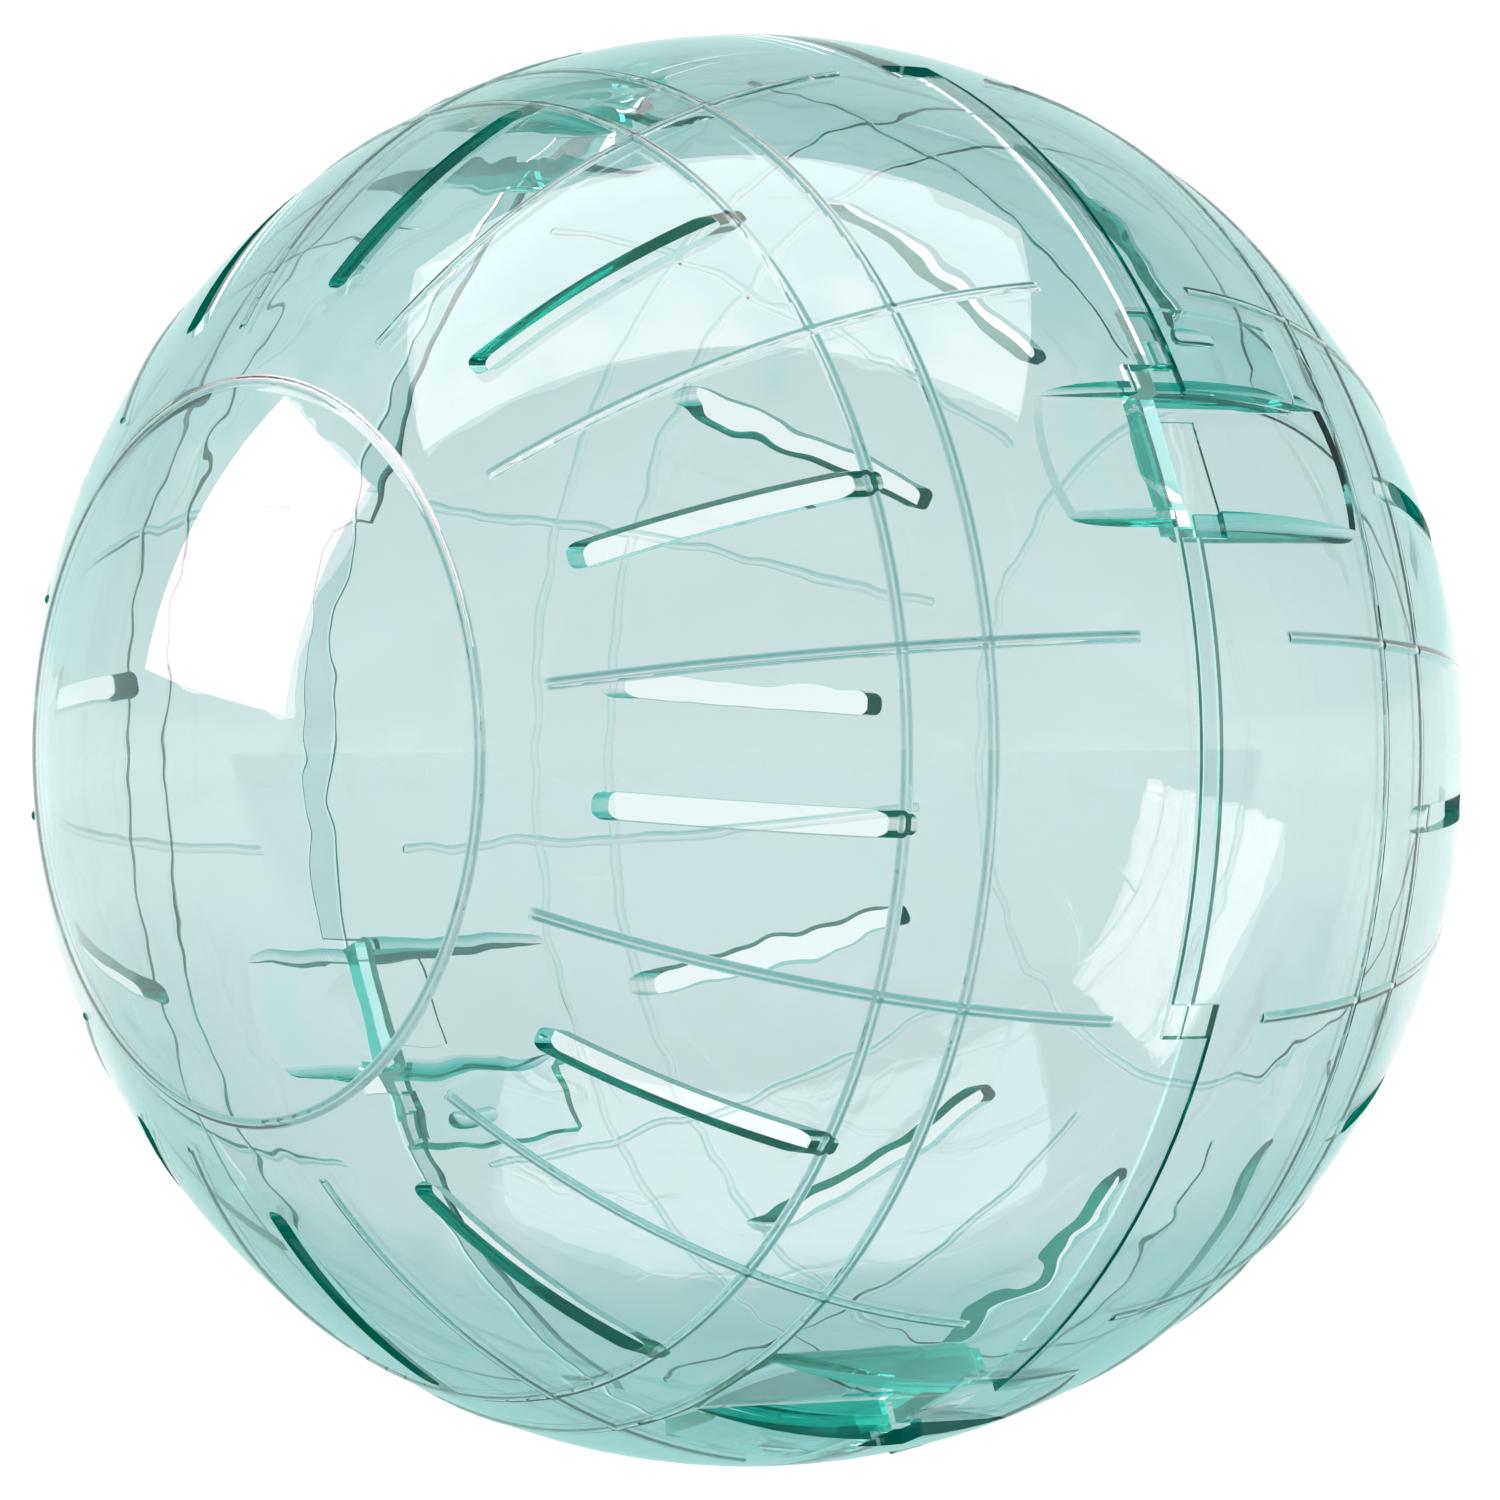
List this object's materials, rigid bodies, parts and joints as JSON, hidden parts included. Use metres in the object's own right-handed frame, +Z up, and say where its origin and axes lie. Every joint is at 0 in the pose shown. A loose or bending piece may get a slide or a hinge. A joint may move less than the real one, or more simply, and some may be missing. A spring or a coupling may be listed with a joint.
{
  "type": "hamster ball",
  "caption": "Clear teal hamster exercise ball of two identical half shells with raised beads, air slots and thumb scoops, locked by a short twist.",
  "frame": {"origin": "centre of the closed ball", "axes": "The two poles lie on Y, with the front half's pole at -Y. +Z is up when the ball rests on a floor with its pole line level, as pictured."},
  "size_m": [0.18, 0.18, 0.18],
  "materials": {
    "clear_teal": "clear, polished"
  },
  "bodies": {
    "front_half": {"front_half": "clear_teal"},
    "back_half": {"back_half": "clear_teal"}
  },
  "joints": [
    {"name": "twist_lock", "type": "hinge", "parent": "front_half", "child": "back_half", "pos_m": [0, 0, 0], "axis": [0, 1, 0], "range_deg": [0, 2.6]}
  ]
}
